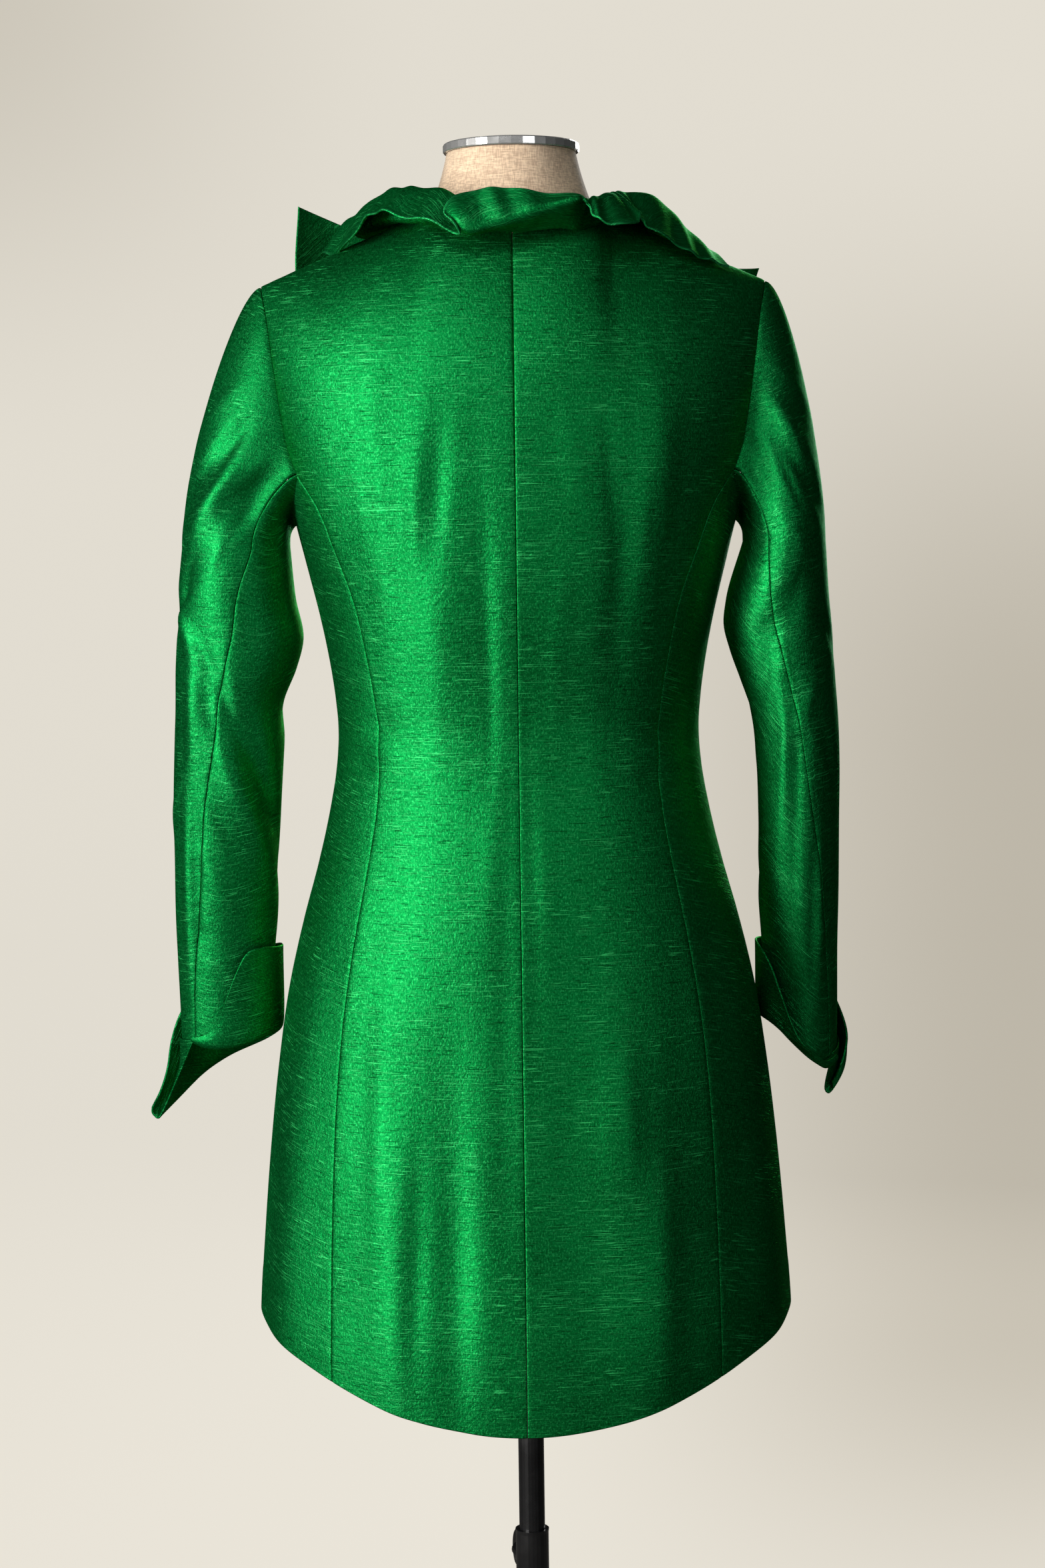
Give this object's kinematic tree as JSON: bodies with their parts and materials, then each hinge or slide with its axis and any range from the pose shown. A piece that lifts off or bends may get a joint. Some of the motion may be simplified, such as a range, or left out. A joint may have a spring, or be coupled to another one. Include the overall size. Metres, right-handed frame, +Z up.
{
  "type": "jacket on a dress form",
  "caption": "Long fitted jacket with a ruffled collar, princess seams and turned-back cuffs, worn on a limbless dress form with a height-adjustable stand.",
  "frame": {"origin": "centre of the foot's underside, on the pole's axis", "axes": "+Z up along the pole, +Y out of the jacket's back, +X to the wearer's left"},
  "size_m": [0.5647, 0.36, 1.5005],
  "materials": {
    "silk": "slubbed silk with a soft sheen",
    "linen": "plain canvas",
    "bright_metal": "polished",
    "satin_black": "satin",
    "gloss_black": "gloss",
    "dark_metal": "gloss"
  },
  "bodies": {
    "stand": {"base_plate": "gloss_black", "outer_tube": "gloss_black"},
    "upper": {"pole": "satin_black", "dress_form": "linen", "neck_cap": "bright_metal", "back_left": "silk", "back_right": "silk", "side_back_left": "silk", "side_back_right": "silk", "front_left": "silk", "front_right": "silk", "upper_sleeve_left": "silk", "upper_sleeve_right": "silk", "under_sleeve_left": "silk", "under_sleeve_right": "silk", "cuff_left": "silk", "cuff_right": "silk", "collar": "silk", "lapel_left": "silk", "lapel_right": "silk"},
    "clamp screw": {"clamp_screw": "dark_metal"}
  },
  "joints": [
    {"name": "height", "type": "slide", "parent": "stand", "child": "upper", "axis": [0, 0, 1], "range_m": [-0.15, 0.15]},
    {"name": "clamp_turn", "type": "hinge", "parent": "stand", "child": "clamp screw", "pos_m": [0, 0, 0.3745], "axis": [0.342, -0.9397, 0], "range_deg": [0, 360]}
  ]
}
